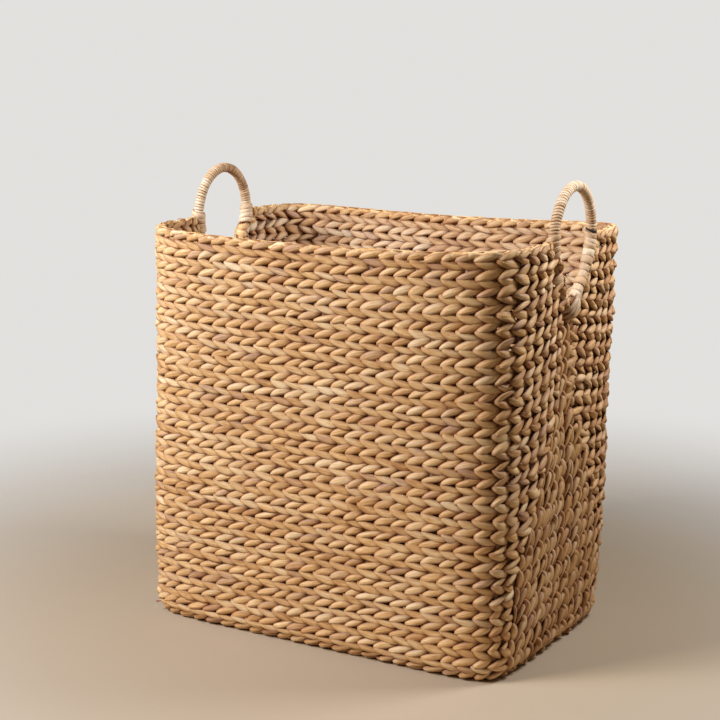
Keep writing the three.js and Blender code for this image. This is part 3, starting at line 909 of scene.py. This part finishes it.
base_rows = {1: [], -1: []}
for n in range(-GUSSET_COUNT - 2, GUSSET_COUNT + 2):
    offset = (n + 0.5) * BASE_ROW
    right, left = base_end(0, offset), base_end(STAKES // 2, -offset)
    for side, level, longer in ((1, UNDER_LEVEL, 0), (-1, OVER_LEVEL, OVER_LONGER)):
        if side > 0 and not -GUSSET_COUNT - 1 <= n <= GUSSET_COUNT:
            continue
        start, stop = left - longer, right + longer
        gaps = np.linspace(start, stop, round((stop - start) / PITCH) + 1) / PITCH

        def where(along, up, out):
            return np.stack([along * PITCH, offset - up, level - out], -1)

        row = lay_row(gaps, 1 if n % 2 else -1, side, where, (BASE_ROW / ROW, 1.0), 1.0)
        base_rows[side].append(row)
piece = make_piece("base_underside", *join_rows(under_rows + base_rows[1]), straw)
hand_over(piece, "base_weave_under")
# The inside of the base takes the same copy, painted paler for the light inside.
piece = make_piece("base_inside", *join_rows(base_rows[-1]), inner_straw)
hand_over(piece, "base_weave_top")
print("rows in the base:", len(base_rows[1]))

# %% [markdown]
# ## Stakes
# Each stake is one flat split cane that stands in the middle of the wall, bends in at the foot and
# ends below the base. It shows only as a dark or pale glint between the stitches. One cane is cut
# into rings, and every copy takes its bend from the wall. Straight canes lie across the base,
# between its two layers.

# %% Make one cane
CANE_RADIUS = 1.9 * MM
CANE_RINGS = 14
cane = ringed_cylinder(6, np.linspace(0, 1, CANE_RINGS + 1), CANE_RADIUS)
CANE_POINTS, CANE_FACES = taken_up(cane)
CANE_SHARE = CANE_POINTS[:, 0]
CANE_WIDE, CANE_THICK = CANE_POINTS[:, 2], CANE_POINTS[:, 1]
print("one cane:", len(CANE_FACES), "faces")

# %% Place the canes
CANE_FLAT = 2.7  # how much wider a stake is than the round cane
CANE_FOOT = -26 * MM
CANE_BEND = 22 * MM
BASE_HALF = 154 * MM
BASE_REACH = 250 * MM
BASE_CANE = 1.3
BASE_CANE_LEVEL = 11 * MM
CANE_SHADE = 0.45
CANE_LOWEST_TOP = 440 * MM
CANE_UNDER_NOTCH = 5 * MM


def cane_top(stake):
    """A stake stops under the rod of the rim, or under a handle's notch."""
    heights = np.linspace(CANE_LOWEST_TOP, WEAVE_TOP + 4 * MM, 200)
    place = wall(np.full(200, float(stake)), heights, np.zeros(200))
    floor_here = np.interp(np.abs(place[:, 1]), NOTCH_EDGE[:, 0], NOTCH_EDGE[:, 1])
    at_end = (np.abs(place[:, 1]) < NOTCH_EDGE[-1, 0]) & (np.abs(place[:, 0]) > 0.2)
    stopped = at_end & (place[:, 2] > floor_here - CANE_UNDER_NOTCH)
    return heights[np.argmax(stopped)] if stopped.any() else heights[-1]


def lay_cane(place, along, salt, shade):
    """One copy of the cane, with its grain and shade, added to the rest."""
    grain = np.column_stack([along / MM, (CANE_THICK - CANE_WIDE) / MM, np.full(len(place), salt)])
    # The third value, 0.4, paints the whole cane partly in the dark crevice tint, as shade deep in the
    # wall.
    cane_parts.append((place, CANE_FACES, grain, np.repeat([[shade, 0, 0.4, 1]], len(place), 0)))


cane_parts = []
for stake in range(STAKES):
    top = cane_top(stake)
    bend = 0.45 * (CANE_BEND - CANE_FOOT) / (top - CANE_FOOT)
    share = CANE_SHARE * bend * 2 + (1 - bend * 2) * CANE_SHARE**2
    heights = CANE_FOOT + (top - CANE_FOOT) * share
    place = wall(stake + CANE_WIDE * CANE_FLAT / PITCH, heights, CANE_THICK)
    lay_cane(place, heights, stake, CANE_SHADE + rng.normal(0, 0.1))
for x in np.arange(-BASE_REACH, BASE_REACH + 2 * MM, PITCH):
    along = (CANE_SHARE * 2 - 1) * BASE_HALF
    depth = BASE_CANE_LEVEL - CANE_THICK * BASE_CANE
    place = np.column_stack([x - CANE_WIDE * BASE_CANE, along, depth])
    lay_cane(place, along, x, CANE_SHADE)
cane_skin = leaf_material(
    "cane", (0.25, 0.14, 0.06), (0.45, 0.29, 0.14), (0.62, 0.44, 0.25), (0.3, 0.2, 0.1), 0.5)
hand_over(make_piece("stakes", *join_pieces(cane_parts), cane_skin), "stake_cage")
print("canes:", len(cane_parts))

# %% [markdown]
# ## The border
# The last row lies over the ends of the stakes and round the rod. Inside it is a two-strand rope
# that goes right round, over the top and down inside: one full turn of one strand is modelled, and
# the second strand is the same, half a turn later. The broad leaves of the last row lie on it, and
# one more strand fills the seam between it and the row below.

# %% Make one turn of the border's strand
BORDER_OUT = 2.9 * MM
BORDER_UP = 1.9 * MM
BORDER_TOP = 4.6 * MM  # above this, leaves are pressed down over the rod
BORDER_LEVEL = WALL_HEIGHT - BORDER_HEIGHT / 2
BORDER_RINGS = np.linspace(-1, 1, 15)
BORDER_LAY = 0.92  # how far the leaf turns while it goes round once


def border_ring(at):
    """Half width, half thickness, place up and out, and turn of one ring of the strand."""
    phase = math.pi * at
    swell = 0.5 + 0.5 * math.cos(2 * phase)
    over_top = max(0.0, math.sin(phase))
    wide = (5.0 + 0.4 * swell) * MM
    thick = (3.4 + 0.5 * over_top) * MM
    return wide, thick, BORDER_UP * math.sin(phase), BORDER_OUT * math.cos(phase), -phase * BORDER_LAY


coil = ringed_cylinder(STITCH_SIDES, BORDER_RINGS)
for at in BORDER_RINGS:
    shape_ring(coil, at, *border_ring(at))
COIL_POINTS, COIL_FACES = taken_up(coil)
print("border strand:", len(COIL_FACES), "faces")

# %% Lay the border
COIL_LENGTH = 1.02  # in stakes, each way from the middle
SHORTEST_COIL = 0.4  # in stakes; a shorter rest at an end is left out
COIL_AXIS = np.array([border_ring(at)[2:4] for at in COIL_POINTS[:, 0]])
COIL_OFF = COIL_POINTS[:, 1:] - COIL_AXIS
COIL_ACROSS = np.hypot(COIL_OFF[:, 0], COIL_OFF[:, 1]) * np.sign(COIL_OFF[:, 0])
PRESSED_RISE = 0.35  # what is left of the rise above BORDER_TOP
TOP_LEAF = (1.05, 0.9)  # broader and thinner than in a row
FILLER_LEVEL = WEAVE_TOP - 1 * MM
FILLER_INSET = 4 * MM
FILLER_SIZE = 0.8


def lay_coil(u, first, last):
    """One turn of the rope, kept between the two ends of the border."""
    size = rng.normal(1.0, 0.05)
    v, d = (COIL_AXIS + COIL_OFF * size).T
    place = wall(np.clip(u, first, last), BORDER_LEVEL + v, d)
    salt = np.full(len(u), rng.uniform(0, 400))
    grain = np.column_stack([u * PITCH / MM * 1.2, COIL_ACROSS / MM, salt])
    shade = np.repeat(np.concatenate([leaf_shades(6)[:1], [[1]]], 1), len(u), 0)
    return place, COIL_FACES, grain, shade


for name, gaps in row_parts(BORDER_LEVEL)[0]:
    first, last = gaps[0], gaps[-1]
    strands = []
    for stake in range(math.floor(first), math.ceil(last) + 1):
        u = stake + COIL_POINTS[:, 0] * COIL_LENGTH
        if np.ptp(np.clip(u, first, last)) >= SHORTEST_COIL:
            strands.append(lay_coil(u, first, last))

    def over(along, up, out):
        pressed = np.minimum(up, BORDER_TOP) + np.maximum(up - BORDER_TOP, 0) * PRESSED_RISE
        return wall(np.clip(along, first, last), BORDER_LEVEL + pressed, out)

    def between(along, up, out):
        return wall(np.clip(along, first, last), FILLER_LEVEL + up * FILLER_SIZE, out - FILLER_INSET)

    for slant, side, where, size in (
            (-1, 1, over, TOP_LEAF), (-1, -1, over, TOP_LEAF), (1, 1, between, (1, 1))):
        strands.append(join_rows([lay_row(gaps, slant, side, where, size, 1.0)]))
    piece = make_piece(f"border_{name}", *join_pieces(strands), straw)
    hand_over(piece, f"rim_border_{name}")
print("border laid")

# %% [markdown]
# ## Handles
# A handle is an iron hoop, wound from end to end with a narrow strip of peel. One turn of the
# winding is a short barrel. It is made once, and stood along each hoop about ninety times. The
# collars at the rim and the bindings down the free leg are broader turns, and the black thread is
# two very thin ones.

# %% Make one turn of winding
BARREL_SIDES = 12
deselect()
bpy.ops.mesh.primitive_cylinder_add(
    vertices=BARREL_SIDES, radius=1, depth=1, rotation=(0, math.pi / 2, 0))
barrel = bpy.context.object
bpy.ops.object.transform_apply(rotation=True)
bpy.ops.object.mode_set(mode="EDIT")
bpy.ops.mesh.select_mode(type="FACE")
bpy.ops.mesh.select_all(action="DESELECT")
bpy.ops.object.mode_set(mode="OBJECT")
for face in barrel.data.polygons:
    face.select = abs(face.normal.x) > 0.9
bpy.ops.object.mode_set(mode="EDIT")
bpy.ops.mesh.bevel(offset=0.2, segments=2, profile=0.5)
BARREL_POINTS, BARREL_FACES = taken_up(barrel)
# Painted shade: each turn darkens towards both ends, in the groove where it meets the next turn.
BARREL_UNSHADED = np.interp(np.abs(BARREL_POINTS[:, 0]), [0.30, 0.44, 0.5], [1.0, 0.75, 0.15])
print("one turn:", len(BARREL_FACES), "faces")


# %% The line of a hoop in space
def hoop_line(side):
    """The hoop's centre line from the point up one leg, over the top and back, evenly spaced."""
    leg = [leg_point(k / 60, 0) for k in range(61)]
    arch = [(HOOP_HALF_WIDTH * math.cos(a), HOOP_WIDEST_Z + HOOP_RISE * math.sin(a))
            for a in np.linspace(0, math.pi, 121)[1:-1]]
    flat = np.array(leg + arch + [(-y, z) for y, z in reversed(leg)])
    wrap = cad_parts[f"handle_{side}_wrap"].data.vertices
    points = np.array([v.co for v in wrap])
    slope = np.polyfit(points[:, 2], points[:, 0], 1)
    return np.column_stack([np.polyval(slope, flat[:, 1]), flat])


def even_line(line, step):
    """The same line with points at even steps."""
    run = np.concatenate([[0], np.cumsum(np.linalg.norm(np.diff(line, axis=0), axis=1))])
    at = np.linspace(0, run[-1], int(run[-1] / step) + 1)
    return np.column_stack([np.interp(at, run, line[:, k]) for k in range(3)])


print("hoop length mm:", round(len(even_line(hoop_line("right"), MM)) - 1))


# %% Wind turns along a line
def wind(line, step, radius, tilt, widths, shade_of, uneven=0.03):
    """Turns of winding along a line; shade_of gives each turn its shade."""
    turns = []
    centres = even_line(line, step)
    middles = (centres[1:] + centres[:-1]) / 2
    ahead = centres[1:] - centres[:-1]
    for n, (middle, along) in enumerate(zip(middles, ahead)):
        length = np.linalg.norm(along)
        along = along / length
        side = np.cross(along, [1, 0, 0])
        side /= np.linalg.norm(side)
        front = np.cross(along, side)
        wide = length * rng.uniform(*widths)
        lean = tilt * rng.uniform(0.6, 1.4)
        local = BARREL_POINTS.copy()
        size = radius * rng.uniform(1 - uneven, 1 + uneven)
        x = local[:, 0] * wide + lean * local[:, 2] * radius
        place = middle + np.outer(x, along) + size * (np.outer(local[:, 1], side) +
                                                     np.outer(local[:, 2], front))
        around = local[:, 1:] * radius / MM * 1.4
        grain = np.column_stack([around[:, 0] + n * 31, local[:, 0] * 4,
                                 around[:, 1] * 0.04 + rng.uniform(0, 400)])
        shade = np.repeat([[*shade_of(n), 1, 1]], len(local), 0)
        # painted shade where the turns meet
        shade[:, 2] = BARREL_UNSHADED
        turns.append((place, BARREL_FACES, grain, shade))
    return turns


print("a turn of winding copies", len(BARREL_FACES), "faces")


# %% Wind the hoops
WRAP_STEP = 3.9 * MM
WRAP_RADIUS = 7.1 * MM
WRAP_SHADE = 0.54
WRAP_WIDTHS = (0.95, 1.12)  # of the step
WRAP_TILT = 0.16
HIDDEN_RADIUS = 5 * MM
BIND_STEP = 10.5 * MM
BIND_RADIUS = 7.5 * MM
BIND_SHADE = 0.58
FREE_LEG_TOP = 556 * MM
HIDDEN_LEG_TOP = 560 * MM
COLLAR_RADIUS = 9.7 * MM
COLLAR_LEVELS = (545 * MM, 574 * MM)
SLIM_COLLAR = 8.2 * MM
SLIM_COLLAR_LEVELS = (545 * MM, 568 * MM)
COLLAR_STEP = 7.0 * MM
COLLAR_TILT = 0.3
COLLAR_SHADE = 0.52


def part_of(line, low, high, sign):
    """The stretch of the hoop between two levels, on the front (-1) or back (1) leg."""
    chosen = (line[:, 2] >= low) & (line[:, 2] <= high) & (line[:, 1] * sign > 0)
    return line[chosen]


for side, covered in (("right", -1), ("left", 1)):
    line = even_line(hoop_line(side), 1 * MM)
    if covered > 0:
        line = line[::-1]
    above = (line[:, 2] > HIDDEN_LEG_TOP) | (line[:, 1] * covered < 0)
    high = line[above & (line[:, 2] > FREE_LEG_TOP)]
    hidden, free = line[~above], part_of(line, 0, FREE_LEG_TOP, -covered)
    drift = 0.16 * np.sin(np.arange(200) / 9 + rng.uniform(0, 6))
    pale = WRAP_SHADE + drift + rng.normal(0, 0.10, 200)
    turns = wind(high, WRAP_STEP, WRAP_RADIUS, WRAP_TILT, WRAP_WIDTHS, lambda n: (pale[n], 0.0))
    turns += wind(hidden, WRAP_STEP, HIDDEN_RADIUS, WRAP_TILT, WRAP_WIDTHS, lambda n: (0.5, 0.0))
    turns += wind(free, BIND_STEP, BIND_RADIUS, 0.12, (1.0, 1.1),
                  lambda n: (BIND_SHADE + rng.normal(0, 0.16), rng.choice([0.0, 0.5])), 0.11)
    piece = make_piece(f"winding_{side}", *join_pieces(turns), peel)
    hand_over(piece, f"handle_{side}_wrap")
    for name, sign in (("front", -1), ("back", 1)):
        slim = side == "right" and name == "back"
        radius, levels = (SLIM_COLLAR, SLIM_COLLAR_LEVELS) if slim else (COLLAR_RADIUS, COLLAR_LEVELS)
        bands = wind(part_of(line, *levels, sign), COLLAR_STEP, radius, COLLAR_TILT, (1.0, 1.25),
                     lambda n: (COLLAR_SHADE + rng.normal(0, 0.10), 0.0))
        piece = make_piece(f"collar_{side}_{name}", *join_pieces(bands), peel)
        hand_over(piece, f"handle_{side}_collar_{name}")
print("hoops wound with", len(turns), "turns and", len(bands), "to a collar")

# %% Lash the points of the hoops
LASH_STRANDS = 6
LASH_SIZE = 0.85  # of a stitch, across and through
LASH_SHADE = 0.72
LASH_ARCH = 11.0 * MM
LASH_DIP = 1.2 * MM
LASH_SINK = 1.5 * MM


def lash_ends(share):
    """Where a strand starts by one leg and stops in the weave, across and up from the point."""
    start = np.array([15 - 9 * share, 19 - 3 * share])
    stop = np.array([-22 + 33 * share, -6 - 14 * math.sin(math.pi * share)])
    return start * MM, stop * MM


def lash(side):
    """Pale strands that cross the joint from one leg and fan out into the weave below the other."""
    end = 1 if side == "right" else -1
    point = hoop_line(side)[0] * [1, 0, 1]
    x = np.clip(LEAF_POINTS[:, 0] / 0.84, -1, 1)
    across = (LEAF_POINTS[:, 1] - LEAF_UP) * LASH_SIZE
    through = (LEAF_POINTS[:, 2] - LEAF_OUT) * LASH_SIZE
    strands = []
    for n in range(LASH_STRANDS):
        start, stop = lash_ends(n / (LASH_STRANDS - 1))
        middle, half = (start + stop) / 2, (stop - start) / 2
        heading = half / np.linalg.norm(half)
        y = middle[0] + half[0] * x - across * heading[1]
        z = middle[1] + half[1] * x + across * heading[0]
        arch = (LASH_ARCH - LASH_DIP * (n % 2)) * (1 - x**2) ** 0.5 - LASH_SINK * x**2
        place = np.column_stack([point[0] + end * (arch + through), end * y, point[2] + z])
        grain = np.column_stack([x * 25, across / MM, np.full(len(x), rng.uniform(0, 400))])
        shade = np.repeat([[LASH_SHADE + rng.normal(0, 0.12), 0.3, 1, 1]], len(x), 0)
        # Painted shade at the sunk edges and ends of each strand, lighter than on the weave.
        shade[:, 2] = 0.15 + 0.85 * LEAF_UNSHADED
        strands.append((place, LEAF_FACES, grain, shade))
    return strands


for side in ("right", "left"):
    piece = make_piece(f"lashing_{side}", *join_pieces(lash(side)), peel)
    hand_over(piece, f"handle_{side}_lashing")
print("points lashed with", LASH_STRANDS, "strands each")

# %% Tie the black thread
THREAD_LEVELS = (569.0 * MM, 572.6 * MM)
THREAD_STEP = 1.2 * MM
THREAD_RADIUS = 7.6 * MM
twine, shader, add, link = new_material("black_twine")
shader.inputs["Roughness"].default_value = 0.8
grain = add("ShaderNodeAttribute", attribute_name="grain")
plies = add("ShaderNodeTexNoise", {"Vector": grain.outputs["Vector"], "Scale": 1.5, "Detail": 2})
black = blended(add, plies.outputs["Fac"], (0.006, 0.0055, 0.005, 1), (0.018, 0.0165, 0.015, 1))
link(black, "Base Color")
twisted = add("ShaderNodeBump", {"Height": plies.outputs["Fac"], "Strength": 0.5, "Distance": 0.2 * MM})
link(twisted.outputs["Normal"], "Normal")
stretch = part_of(even_line(hoop_line("right"), 0.25 * MM), *THREAD_LEVELS, 1)
turns = wind(stretch, THREAD_STEP, THREAD_RADIUS, 0.3, (0.95, 1.05), lambda n: (0.5, 0))
hand_over(make_piece("black_thread", *join_pieces(turns), twine), "thread_tie")
print("thread tied with", len(turns), "turns")

# %% Metal for the hidden rods
metal, shader, add, link = new_material("iron")
shader.inputs["Metallic"].default_value = 0.85
coords = add("ShaderNodeTexCoord")
mottle = add("ShaderNodeTexNoise", {"Vector": coords.outputs["Object"], "Scale": 180.0, "Detail": 3})
skin = blended(add, mottle.outputs["Fac"], (0.04, 0.036, 0.034, 1), (0.08, 0.068, 0.06, 1))
link(skin, "Base Color")
rough = add("ShaderNodeMapRange", {"Value": mottle.outputs["Fac"], "To Min": 0.45, "To Max": 0.65})
link(rough.outputs["Result"], "Roughness")
rods = [node for name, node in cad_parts.items() if "_rod_" in name or name.endswith("_core")]
for rod in rods:
    for holder in rod.material_slots:
        holder.material = metal
print("rods of iron:", len(rods))
